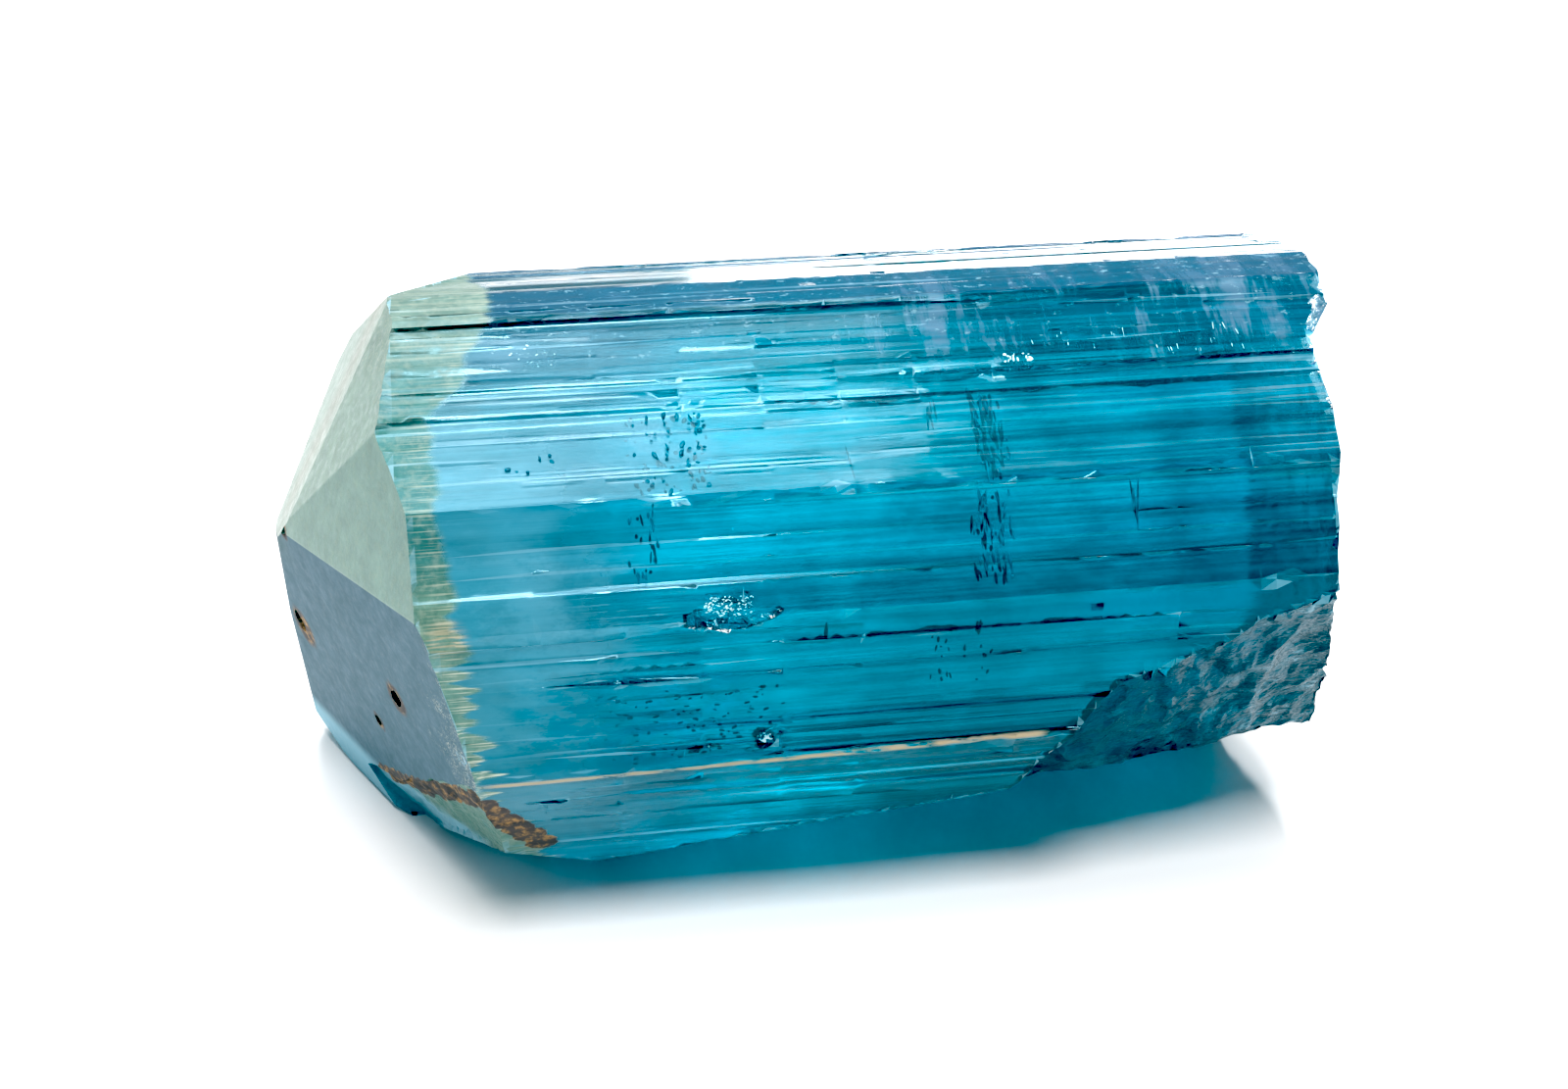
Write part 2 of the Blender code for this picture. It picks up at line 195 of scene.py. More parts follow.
# Masks over the surface. Each is a strength times its parts, and a part is a value and two, three
# or four numbers: where it fades in or out; where it begins and ends, and how softly; or where it
# fades and what it is before and after. With no number, the part is the value itself.
MASKS = {
    # the front of the blue
    "toothed": (1.0, ("z", 2.0, -1.0, 0.5, 2.6)),
    "blue": (1.0, ("past", -0.42, -0.08)),
    "near_front": (1.0, ("past", -0.9, 0.5, 0.5)),
    # milky veils
    "veil": (0.6, ("clouds", 0.46, 0.66), ("x", 5.0, 14.5, 2.5), ("z", -3.0, 3.0)),
    "low_veil": (1.0, ("x", 14.0, 6.0), ("z", -0.6, 3.2, 0.9), ("clouds", 0.30, 0.62, 0.25, 1.0),
                 ("z", 0.4, 1.4, 0.65, 0.95)),
    "band": (0.6, ("z", 0.95, 2.0, 0.3), ("x", 6.8, 12.0, 1.2), ("fine_grooves", 0.42, 0.58)),
    "columns": (1.0, ("columns", 0.41, 0.64), ("z", 4.4, 6.4), ("x", 14.0, 19.0)),
    # the haze: milk on the upper front face, and a painted sheen of the soft light overhead
    "haze": (1.0, ("z", 2.6, 4.2), ("z", 6.4, 5.2, 0.35, 1.0), ("x", 24.0, 7.0, 0.36, 0.44),
             ("clouds", 0.38, 0.62, 0.35, 1.0)),
    "curdled": (1.0, ("curds", 0.38, 0.56, 0.6, 1.0)),
    "below_haze": (1.0, ("z", 4.0, 3.4)),
    # lines, shadows and patches in the blue
    "lined_above": (0.55, ("z", 2.2, 5.6, 0.6), ("x", 15.0, 20.0)),
    "lined_below": (0.45, ("z", -3.4, 1.0, 0.5)),
    "dark_lines": (1.0, ("lines", 0.47, 0.40)),
    # painted highlights: light lines where the ledges catch the light
    "highlight_lines": (0.75, ("highlight_lines", 0.51, 0.62), ("z", 3.2, 5.6, 0.5), ("x", 12.0, 17.0)),
    "shaded_front": (0.55, ("x", 17.5, 25.0, 2.5), ("z", -1.2, -2.8)),
    "under_ridge": (1.0, ("z", 3.78, 3.95, 0.05), ("x", 5.6, 8.0), ("clouds", 0.36, 0.52, 0.25, 0.8)),
    "foot_band": (0.55, ("z", -0.1, 0.95, 0.25), ("x", 18.0, 25.0)),
    "behind": (1.0, ("past", 6.0, 0.3), ("z", 6.0, 4.0, 0.25, 1.0)),
    "patchy": (1.0, ("clouds", 0.3, 0.6, 0.5, 1.0)),
    "smudge": (0.8, ("smudges", 0.44, 0.60), ("x", 6.8, 12.5, 1.8), ("z", -3.5, -0.6, 0.9)),
    # the cap and the pale zone
    "tinted": (1.0, ("y", 0.5, 3.0, 1.6), ("z", -2.0, 0.5)),
    "creamy": (1.0, ("z", 5.6, 7.0, 0.0, 0.15)),
    "cap_like": (1.0, ("z", 3.2, 1.5)),
    "dusted": (1.0, ("grain", 0.42, 0.7), ("cap_shade", 0.0, 1.0, 0.14, 0.04)),
    "streaks": (1.0, ("hair", 0.52, 0.64), ("near_front",), ("z", 2.0, -1.0, 0.35, 0.9)),
    "high_streaks": (0.18, ("fine_grooves", 0.50, 0.64), ("z", 4.6, 6.4)),
    # painted light near the table, where light shines through the pale zone
    "foot": (1.0, ("z", -7.9, -8.7)),
    # the top facets: painted shade in a band along the front one and in lines along the rear edge,
    # and painted light on the walls of the ledges
    "on_top": (1.0, ("z", 5.6, 5.9), ("y", -2.0, -1.88)),
    "top_band": (0.8, ("across_top", -1.9, 0.35, 0.12)),
    "rear_line": (1.0, ("across_top", 3.25, 3.65, 0.08)),
    "rear_edge": (1.0, ("across_top", 4.05, 4.2)),
    "under_top": (0.5, ("y", -3.7, -1.95, 0.5), ("z", 5.4, 6.0), ("blue",)),
    "specks": (0.7, ("specks", 0.60, 0.66), ("z", 5.6, 6.4), ("blue",)),
    # painted light on the walls of the ledges, which face away from the light
    "lit_ledge_walls": (0.55, ("ledge",)),
    # the breaks
    "white_shell": (1.0, ("broken",), ("shells", 0.55, 0.68), ("x", 27.0, 29.5, 0.15, 0.6)),
    "scooped": (1.0, ("broken",), ("x", 20.5, 22.0), ("y", -4.5, -6.0)),
    # painted shade deep in the scoop
    "shard_depths": (1.0, ("shards", 0.58, 0.46, 0.7, 1.0)),
    # iron
    "rust_line": (1.0, ("off_edge", 0.15, 0.03), ("x", 5.8, 21.6, 0.4), ("y", -8.6, -8.8),
                  ("rust_gaps", 0.28, 0.50)),
    "smear": (0.6, ("off_smear", 0.75, 0.2), ("hair", 0.4, 0.6)),
    "rust_grains": (1.0, ("grain", 0.46, 0.72)),
    # how clear, how rough and how high the surface is
    "clear_end": (1.0, ("x", 27.0, 29.0, 1.0, 0.75)),
    "cap_roughness": (1.0, ("grain", 0.3, 0.7, 0.28, 0.45)),
    "blue_roughness": (1.0, ("fine_grooves", 0.3, 0.7, 0.05, 0.22)),
    "flat_top": (1.0, ("z", 5.4, 6.0), ("y", -3.2, -1.6)),
    "rear_rise": (7.0, ("across_top", 3.9, 4.5)),
    "rear_dip": (3.5, ("across_top", 3.2, 3.5, 0.1)),
}

# What is left of the clearness where each of these lies, and the roughness of the rougher parts.
CLEARNESS_LEFT = {"iron": 0.05, "milk_and_light": 0.5, "behind": 0.4, "ledge": 0.35, "white_shell": 0.45,
                  "shaded_top": 0.4, "scooped": 0.5}
SHADED_ROUGHNESS, BREAK_ROUGHNESS, IRON_ROUGHNESS = 0.3, 0.15, 0.75

# The front of the blue is kept as shares of this length. The colours drift along the crystal with
# the clouds, and the stripes on top stray to the side, by this much. All in mm.
FRONT_REACH, CLOUD_DRIFT, TOP_STRAY = 10.0, 9.0, 0.5

# The relief in the material: the share of fine grooves, the mean height, what is left of the
# grooves on the flat top, the height of the grain on the cap and of the shards, and the depth.
FINE_SHARE, MEAN_HEIGHT, FLAT_LEFT = 0.35, 0.67, 0.12
GRAIN_HEIGHT, SHARD_HEIGHT = 0.35, 4.0
RELIEF_DEPTH = 0.022 * MM


def at(x, y, z):
    """A place in the frame, from millimetres from the tip of the cap."""
    return (Vector((x, y, z)) + CAP_TIP) * MM


def outward(turn, lean=90.0):
    """The outward direction of a face."""
    turn, lean = math.radians(turn), math.radians(lean)
    across = math.sin(lean)
    return Vector((-math.cos(lean), -across * math.cos(turn), across * math.sin(turn)))


def ridge(face, following):
    """Where two neighbouring long faces meet, in the plane across the crystal, in mm."""
    first, second = outward(face.turn), outward(following.turn)
    size = first.y * second.z - first.z * second.y
    y = (face.distance * second.z - following.distance * first.z) / size
    z = (following.distance * first.y - face.distance * second.y) / size
    return Vector((0.0, y, z))


# The ridge after each long face.
RIDGES = [ridge(face, LONG_FACES[(index + 1) % len(LONG_FACES)])
          for index, face in enumerate(LONG_FACES)]


class Graph:
    """Adds nodes to a node tree, and links them."""

    def __init__(self, tree):
        self.tree = tree

    def feed(self, socket, value):
        """Link a socket to an output, or set its value."""
        if isinstance(value, bpy.types.NodeSocket):
            self.tree.links.new(value, socket)
        else:
            socket.default_value = value

    def add(self, kind, inputs=None, **settings):
        """Add a node with these settings and inputs."""
        node = self.tree.nodes.new(kind)
        for name, value in settings.items():
            setattr(node, name, value)
        for name, value in (inputs or {}).items():
            self.feed(node.inputs[name], value)
        return node

    def math(self, operation, first, second=0.0):
        """One operation on two numbers."""
        return self.add("ShaderNodeMath", {0: first, 1: second}, operation=operation).outputs[0]

    def product(self, *values):
        """The product of several values."""
        result = values[0]
        for value in values[1:]:
            result = self.math("MULTIPLY", result, value)
        return result

    def most(self, *values):
        """The largest of several values."""
        result = values[0]
        for value in values[1:]:
            result = self.math("MAXIMUM", result, value)
        return result

    def fade(self, value, low, high, start=0.0, end=1.0):
        """A smooth step from start to end, as the value goes from low to high."""
        node = self.add("ShaderNodeMapRange", {"Value": value, "From Min": low, "From Max": high,
                                               "To Min": start, "To Max": end},
                        interpolation_type="SMOOTHSTEP")
        return node.outputs["Result"]

    def window(self, value, low, high, soft):
        """One between low and high, and zero outside, with soft ends."""
        return self.product(self.fade(value, low - soft, low + soft),
                            self.fade(value, high + soft, high - soft))

    def mix(self, factor, first, second, blend="MIX"):
        """Mix two colours."""
        node = self.add("ShaderNodeMix", {0: factor, 6: first, 7: second}, data_type="RGBA",
                        blend_type=blend)
        return node.outputs[2]

    def blend(self, factor, first, second):
        """Mix two numbers."""
        node = self.add("ShaderNodeMix", {0: factor, 2: first, 3: second}, data_type="FLOAT")
        return node.outputs[0]

    def noise(self, place, scale, detail=2.0, roughness=0.5, shift=(0.0, 0.0, 0.0)):
        """Noise whose scale differs along each axis."""
        spot = self.add("ShaderNodeVectorMath", {0: place, 1: scale, 2: shift},
                        operation="MULTIPLY_ADD").outputs[0]
        node = self.add("ShaderNodeTexNoise", {"Vector": spot, "Scale": 1.0, "Detail": detail,
                                               "Roughness": roughness})
        return node.outputs["Fac"]

    def distance(self, place, point):
        """The distance between a place and a point."""
        return self.add("ShaderNodeVectorMath", {0: place, 1: point},
                        operation="DISTANCE").outputs["Value"]

    def ramp(self, value, stops, low, high):
        """A ramp of colours through stops, whose places lie between low and high."""
        node = self.add("ShaderNodeValToRGB", {
            "Fac": self.add("ShaderNodeMapRange", {"Value": value, "From Min": low,
                                                   "From Max": high}).outputs["Result"]})
        elements = node.color_ramp.elements
        while len(elements) < len(stops):
            elements.new(1.0)
        for element, (place, colour) in zip(elements, stops):
            element.position = (place - low) / (high - low)
            element.color = colour
        return node.outputs["Color"]


def rgba(colour):
    """A colour with full alpha."""
    return (colour[0], colour[1], colour[2], 1.0)


def grey(value):
    """A grey of this value."""
    return (value, value, value, 1.0)


def new_material(name):
    """A material with an empty node tree but for its shader, and the tree's graph."""
    material = bpy.data.materials.new(name)
    material.use_nodes = True
    graph = Graph(material.node_tree)
    return material, graph, material.node_tree.nodes["Principled BSDF"]


def colour_property(name, default, description):
    """A property that holds a colour."""
    return FloatVectorProperty(name=name, description=description, subtype="COLOR", size=3,
                               min=0.0, max=1.0, default=default)


def length_property(name, default, description):
    """A property that holds a short length."""
    return FloatProperty(name=name, description=description, unit="LENGTH", precision=5,
                         min=0.0, default=default)


def share_property(name, default, description):
    """A property that holds a share, from 0 to 1."""
    return FloatProperty(name=name, description=description, subtype="FACTOR", min=0.0, max=1.0,
                         default=default)


def number_property(name, default, low, high, description):
    """A property that holds a number between two others."""
    return FloatProperty(name=name, description=description, min=low, max=high, default=default)


class CrystalColours(bpy.types.PropertyGroup):
    """The colours and the clearness of the crystal."""
    # The cap's colour as lit on its upper faces, and as painted shade on its lower faces.
    cap: colour_property("Cap", (0.12, 0.19, 0.145), "Upper faces of the pale cap")
    cap_shaded: colour_property("Shaded cap", (0.085, 0.12, 0.155), "Lower faces of the cap")
    sage: colour_property("Sage zone", (0.06, 0.14, 0.13), "Pale zone behind the cap")
    cream: colour_property("Cream", (0.56, 0.56, 0.45), "Streaks where the blue begins")
    pale: colour_property("Pale blue", (0.09, 0.26, 0.35), "Blue next to the cap")
    middle: colour_property("Middle blue", (0.0, 0.31, 0.42), "Blue at mid length")
    deep: colour_property("Deep blue", (0.0, 0.205, 0.28), "Blue towards the break")
    end: colour_property("End blue", (0.0, 0.25, 0.37), "Blue at the broken end")
    # Painted shade along the top facets.
    top_shade: colour_property("Dusk", (0.05, 0.10, 0.17), "Dark band along the top")
    groove: colour_property("Groove", (0.0, 0.15, 0.24), "Dark lines along the crystal")
    # Painted shade in the scoop and near the break.
    break_shade: colour_property("Shaded break", (0.0, 0.02, 0.04), "Depths of the break")
    # Milk, and painted light: on the ledge walls, in the highlight lines, in the haze and near the
    # table.
    milk_and_light: colour_property("Milk", (0.26, 0.44, 0.53), "Cloudy veils")
    rust: colour_property("Rust", (0.42, 0.24, 0.09), "Iron stain on edges")
    dark_rust: colour_property("Dark rust", (0.10, 0.06, 0.05), "Iron crust in the pits")
    gloss: colour_property("Gloss", (0.30, 0.55, 0.65), "Tint of what the faces reflect")
    depth_colour: colour_property("Depth colour", (0.05, 0.86, 0.97),
                                  "What thickness leaves of white light")
    depth: number_property("Depth of colour", 60.0, 0.0, 1000.0, "Absorption, per metre")
    clearness: share_property("Clearness", 0.86, "Share of light let into the blue")
    cap_clearness: share_property("Cap clearness", 0.12, "Share of light let into the cap")
    ior: number_property("Refraction", 1.63, 1.0, 2.5, "Index of refraction of tourmaline")


class CrystalShape(bpy.types.PropertyGroup):
    """How finely the crystal's surface is worked."""
    detail: length_property("Detail", 0.45 * MM, "Length of mesh faces along the crystal")
    strip: length_property("Strip", 0.40 * MM, "Width of the strips the long faces are cut into")
    flute: length_property("Flute", 0.06 * MM, "Depth of the flutes along the long faces")
    break_detail: length_property("Break detail", 0.26 * MM, "Longest edge on a break")
    hackle: length_property("Hackle", 0.30 * MM, "Relief added to the broken surfaces")
    wear: length_property("Wear", 0.10 * MM, "Depth of the nicks along the long edges")
    cap_wear: length_property("Cap wear", 0.16 * MM, "Width of the rounding of the cap's edges")


class StageLooks(bpy.types.PropertyGroup):
    """The table, the lights and the camera."""
    table: colour_property("Table", (0.90, 0.905, 0.91), "White table top")
    sky: number_property("Sky", 0.18, 0.0, 10.0, "Brightness of the white room")
    key_light: number_property("Key light", 26.0, 0.0, 100.0, "Radiance of the light overhead")
    through_light: number_property("Through light", 21.0, 0.0, 100.0,
                                   "Radiance of the light that shines through")
    veil_light: number_property("Veil light", 4.6, 0.0, 100.0,
                                "Radiance of the soft light overhead")
    back_light: number_property("Back light", 3.2, 0.0, 100.0, "Radiance of the low light behind")
    lens: FloatProperty(name="Lens", description="Focal length of the camera",
                        subtype="DISTANCE_CAMERA", min=10.0, max=200.0, default=45.0)
    distance: length_property("Distance", 60.956 * MM, "From the camera to the crystal")


# ---------------------------------------------------------------------------- the crystal's shape

def crystal_solid():
    """The crystal's solid as a bmesh, with its seams closed."""
    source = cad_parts[NODE].data
    bm = bmesh.new()
    verts = [bm.verts.new(vert.co) for vert in source.vertices]
    for polygon in source.polygons:
        bm.faces.new([verts[index] for index in polygon.vertices])
    bmesh.ops.remove_doubles(bm, verts=bm.verts, dist=WELD)
    return bm


def kind_of_face(centre, normal):
    """Whether a small face belongs to a long face, to the cap or to a break."""
    for face in LONG_FACES:
        facing = outward(face.turn)
        if (abs(facing.dot(centre) - face.distance) < LONG_REACH
                and facing.dot(normal) > LONG_AGREE and abs(normal.x) < LONG_SLOPE):
            return GROWN, 0.0
    for number, face in enumerate(CAP_FACES):
        facing = outward(face.turn, face.lean)
        if (abs(facing.dot(centre) - face.distance) < CAP_REACH
                and facing.dot(normal) > CAP_AGREE):
            return CAP, 1.0 if number in SHADED_CAP_FACES else 0.0
    return BROKEN, 0.0


def mark_faces(bm):
    """Write on each face what it belongs to."""
    kinds = bm.faces.layers.int.new("kind")
    shades = bm.faces.layers.float.new("shade")
    for face in bm.faces:
        centre = face.calc_center_median() / MM - CAP_TIP
        face[kinds], face[shades] = kind_of_face(centre, face.normal)


def ledge_share(face):
    """How far a small face of a long face turns away from it, from 0 to 1, as ledges do."""
    agree = max(outward(long_face.turn).dot(face.normal) for long_face in LONG_FACES)
    return max(0.0, min(1.0, (FLAT_AGREE - agree) / (FLAT_AGREE - LEDGE_AGREE)))


def slice_across(bm, spacing):
    """Cut every face across the crystal at even spaces, without opening the solid."""
    start = min(vert.co.x for vert in bm.verts)
    end = max(vert.co.x for vert in bm.verts)
    for number in range(1, math.ceil((end - start) / spacing)):
        geometry = bm.verts[:] + bm.edges[:] + bm.faces[:]
        bmesh.ops.bisect_plane(bm, geom=geometry, dist=SNAP,
                               plane_co=(start + number * spacing, 0.0, 0.0),
                               plane_no=(1.0, 0.0, 0.0))


def slice_along(bm, spacing):
    """Cut the long faces into narrow strips that run along the crystal."""
    kinds = bm.faces.layers.int["kind"]
    for index, long_face in enumerate(LONG_FACES):
        facing = outward(long_face.turn)
        across = Vector((1.0, 0.0, 0.0)).cross(facing)
        start, end = sorted(across.dot(place) for place in (RIDGES[index - 1], RIDGES[index]))
        count = max(1, round((end - start) * MM / spacing))
        faces = [face for face in bm.faces
                 if face[kinds] == GROWN and face.normal.dot(facing) > FACE_AGREE]
        edges = dict.fromkeys(edge for face in faces for edge in face.edges)
        verts = dict.fromkeys(vert for face in faces for vert in face.verts)
        geometry = [*faces, *edges, *verts]
        for number in range(1, count):
            place = CAP_TIP + across * (start + (end - start) * number / count)
            cut = bmesh.ops.bisect_plane(bm, geom=geometry, dist=SNAP, plane_co=place * MM,
                                         plane_no=across)
            geometry = cut["geom"]


def round_cap(bm, width):
    """Round the edges between the faces of the cap."""
    kinds = bm.faces.layers.int["kind"]
    edges = [edge for edge in bm.edges if len(edge.link_faces) == 2
             and edge.calc_face_angle(0.0) > CAP_EDGE_ANGLE and edge.calc_length() > width
             and all(face[kinds] == CAP for face in edge.link_faces)]
    bmesh.ops.bevel(bm, geom=edges, offset=width, offset_type="OFFSET", profile=0.5,
                    segments=CAP_EDGE_SEGMENTS, affect="EDGES", clamp_overlap=True)
    bm.normal_update()


def refine_breaks(bm, detail):
    """Split the longer edges of the broken surfaces twice."""
    kinds = bm.faces.layers.int["kind"]
    for _ in range(2):
        split = [edge for edge in bm.edges if edge.calc_length() > detail
                 and all(face[kinds] == BROKEN for face in edge.link_faces)]
        bmesh.ops.subdivide_edges(bm, edges=split, cuts=1)
        bmesh.ops.triangulate(bm, faces=[face for face in bm.faces if len(face.verts) > 3])


def hackle_height(place):
    """How deep a broken surface goes at a place in mm, from 0 to about 1."""
    shell = abs(noise.noise(place / SHELL_SIZE))
    step = abs(noise.noise(place / STEP_SIZE + STEP_SHIFT))
    grain = 0.5 + 0.5 * noise.noise(place / GRAIN_SIZE)
    return SHELL_SHARE * shell + STEP_SHARE * step + GRAIN_SHARE * grain


def rib_depth(place):
    """How deep a long face is fluted at a place in mm, from 0 to 1, the same all along it."""
    length, width = WIDE_FLUTE
    wide = noise.noise(Vector((place.x / length, place.y / width, place.z / width)))
    length, width = NARROW_FLUTE
    narrow = noise.noise(Vector((place.x / length, place.y / width,
                                 place.z / width + NARROW_SHIFT)))
    return max(0.0, min(1.0, 0.5 + WIDE_SHARE * wide + NARROW_SHARE * narrow))


def nick_depth(place):
    """How deep an edge is nicked at a place in mm, from 0 to 1: mostly nothing."""
    rare = noise.noise(place / NICK_SIZE + NICK_SHIFT)
    small = noise.noise(place / NICK_GRAIN_SIZE)
    kept = TOP_NICKS if place.z > TOP_HEIGHT else 1.0
    deep = NICK_GAIN * (rare + NICK_GRAIN_SHARE * small - NICK_RARITY)
    return kept * max(0.0, min(1.0, deep))


def weather(bm, hackle, wear, flute):
    """Roughen the breaks, nick the long edges and flute the long faces, always inwards."""
    kinds = bm.faces.layers.int["kind"]
    bm.normal_update()
    moves = []
    for vert in bm.verts:
        place = vert.co / MM - CAP_TIP
        found = {face[kinds] for face in vert.link_faces}
        if found == {BROKEN}:
            moves.append((vert, vert.normal * (-hackle * hackle_height(place))))
        elif found == {GROWN}:
            flat = Vector((0.0, place.y, place.z))
            if min((flat - line).length for line in RIDGES) < WEAR_REACH:
                moves.append((vert, flat.normalized() * (-wear * nick_depth(place))))
            elif vert.normal.z > REST_FACING:
                moves.append((vert, vert.normal * (-flute * rib_depth(place))))
    walls = [(outward(face.turn), face.distance * MM) for face in LONG_FACES]
    for vert, move in moves:
        place = vert.co + move - CAP_TIP * MM
        for facing, reach in walls:
            place -= facing * max(0.0, facing.dot(place) - reach)
        vert.co = place + CAP_TIP * MM


def shade_crystal(bm):
    """Smooth within a face, sharp where two faces meet. The ledges in a face are smooth too."""
    bm.normal_update()
    kinds = bm.faces.layers.int["kind"]
    for face in bm.faces:
        face.smooth = face[kinds] != BROKEN
    for edge in bm.edges:
        edge.smooth = edge.calc_face_angle(math.pi) < SHARP_ANGLE
        if not edge.smooth and all(face[kinds] == GROWN for face in edge.link_faces):
            middle = (edge.verts[0].co + edge.verts[1].co) / (2 * MM) - CAP_TIP
            middle.x = 0.0
            edge.smooth = min((middle - line).length for line in RIDGES) > RIDGE_REACH


def crystal_mesh(shape):
    """The finished mesh of the crystal, with its faces marked for the material."""
    bm = crystal_solid()
    bm.normal_update()
    mark_faces(bm)
    round_cap(bm, shape.cap_wear)
    slice_across(bm, shape.detail)
    slice_along(bm, shape.strip)
    bmesh.ops.triangulate(bm, faces=bm.faces)
    refine_breaks(bm, shape.break_detail)
    weather(bm, shape.hackle, shape.wear, shape.flute)
    shade_crystal(bm)
    kinds = [face[bm.faces.layers.int["kind"]] for face in bm.faces]
    shades = [face[bm.faces.layers.float["shade"]] for face in bm.faces]
    ledges = [ledge_share(face) if kind == GROWN else 0.0 for face, kind in zip(bm.faces, kinds)]
    mesh = bpy.data.meshes.new("crystal")
    bm.to_mesh(mesh)
    bm.free()
    for name in ("kind", "shade"):
        mesh.attributes.remove(mesh.attributes[name])
    marks = ([float(kind == BROKEN) for kind in kinds], [float(kind == CAP) for kind in kinds],
             shades, ledges)
    for name, values in zip(FACE_MARKS, marks):
        layer = mesh.attributes.new(name, "FLOAT", "FACE")
        layer.data.foreach_set("value", values)
    return mesh


# ------------------------------------------------------------------------- the crystal's material

def rim_spots():
    """Evenly spaced places along the rusty rim of the cap."""
    spots = []
    for start, end in zip(RIM_LINE, RIM_LINE[1:]):
        start, end = Vector(start), Vector(end)
        steps = math.ceil((end - start).length / RIM_STEP)
        spots += [tuple(start.lerp(end, step / steps)) for step in range(steps)]
    return spots + [RIM_LINE[-1]]


class CrystalGraph(Graph):
    """The nodes of the crystal's material: named values over its surface, and masks of them."""

    def __init__(self, tree, looks):
        super().__init__(tree)
        self.looks = looks
        coords = self.add("ShaderNodeTexCoord").outputs["Object"]
        self.place = self.add("ShaderNodeVectorMath",
                              {0: coords, 1: (1 / MM,) * 3, 2: tuple(-CAP_TIP)},
                              operation="MULTIPLY_ADD").outputs[0]
        axes = self.add("ShaderNodeSeparateXYZ", {0: self.place}).outputs
        self.values = {"x": axes[0], "y": axes[1], "z": axes[2]}
        for name in FACE_MARKS:
            mark = self.add("ShaderNodeAttribute", attribute_name=name)
            self.values[name] = mark.outputs["Fac"]
        for name, texture in TEXTURES.items():
            self.values[name] = self.noise(self.place, *texture)

    def colour(self, name):
        """One of the crystal's colours."""
        return rgba(getattr(self.looks, name))

    def stray(self, name, reach=1.0):
        """A texture as a shift to either side."""
        return self.math("MULTIPLY", self.math("SUBTRACT", self.values[name], 0.5), reach)

    def shade(self, colour, name, shades, strength=1.0):
        """Darken and lighten a colour by a texture."""
        stops = [(place, grey(light)) for place, light in shades]
        return self.mix(strength, colour, self.ramp(self.values[name], stops, 0.0, 1.0),
                        "MULTIPLY")

    def mask(self, name):
        """One of the masks."""
        strength, *parts = MASKS[name]
        factors = []
        for source, *numbers in parts:
            value = self.values[source]
            if len(numbers) == 3:
                value = self.window(value, *numbers)
            elif numbers:
                value = self.fade(value, *numbers)
            factors.append(value)
        return self.product(strength, *factors)

    def keep(self, name):
        """Make a mask, and keep it as a named value."""
        self.values[name] = self.mask(name)
        return self.values[name]

    def find_front(self):
        """Where the blue begins: a ragged front that runs out in streaks low on the crystal."""
        stops = [(height, grey(start / FRONT_REACH)) for height, start in BLUE_STARTS]
        shares = self.ramp(self.values["z"], stops, BLUE_STARTS[0][0], BLUE_STARTS[-1][0])
        front = self.math("MULTIPLY", shares, FRONT_REACH)
        teeth = self.product(self.stray("teeth"), self.mask("toothed"))
        ragged = self.math("ADD", teeth, self.stray("waves"))
        self.values["past"] = self.math("SUBTRACT",
                                        self.math("SUBTRACT", self.values["x"], front), ragged)
        self.keep("blue")
        self.keep("near_front")

    def find_milk(self):
        """Where it looks milky, and where the haze is a painted sheen."""
        veils = [self.mask(name) for name in ("veil", "low_veil", "band", "columns", "haze")]
        self.values["milk_and_light"] = self.product(self.most(*veils), self.mask("curdled"))

    def blue_body(self):
        """The blue along the crystal, with its lines, grooves, painted shadows and milk, painted
        highlight lines, and painted light and shade by height.
        """
        drift = self.math("ADD", self.values["x"], self.stray("clouds", CLOUD_DRIFT))
        steps = [(step, self.colour(name)) for step, name in BLUE_STEPS]
        body = self.ramp(drift, steps, BLUE_STEPS[0][0], BLUE_STEPS[-1][0])
        body = self.shade(body, "grooves", GROOVE_SHADES)
        body = self.shade(body, "fine_grooves", FINE_GROOVE_SHADES, FINE_GROOVE_STRENGTH)
        lined = self.math("ADD", self.mask("lined_above"), self.mask("lined_below"))
        lined = self.product(lined, self.mask("dark_lines"))
        body = self.mix(lined, body, self.colour("groove"))
        # Painted highlights: light lines where the ledges catch the light.
        body = self.mix(self.mask("highlight_lines"), body, self.colour("milk_and_light"))
        # Painted shade near the break.
        body = self.mix(self.mask("shaded_front"), body, self.colour("break_shade"))
        # Painted light and shade: the blue made lighter or darker by height.
        painted_shading = [(height, grey(light)) for height, light in PAINTED_LIGHT_BY_HEIGHT]
        body = self.mix(1.0, body, self.ramp(self.values["z"], painted_shading, *LIGHT_SPAN), "MULTIPLY")
        body = self.shade(body, "blotches", BLOTCH_SHADES)
        bands = self.most(self.mask("under_ridge"), self.mask("foot_band"))
        body = self.mix(bands, body, self.colour("groove"))
        # Milk, and in the haze a painted sheen of the soft light overhead.
        milk_and_light = self.colour("milk_and_light")
        milk_and_light = self.mix(self.mask("below_haze"), self.mix(1.0, milk_and_light, HAZE_SHADE, "MULTIPLY"), milk_and_light)
        body = self.mix(self.values["milk_and_light"], body, self.shade(milk_and_light, "grooves", MILK_SHADES))
        behind = self.product(self.keep("behind"), self.mask("patchy"))
        body = self.mix(behind, body, self.colour("pale"))
        return self.mix(self.mask("smudge"), body, self.colour("groove"))

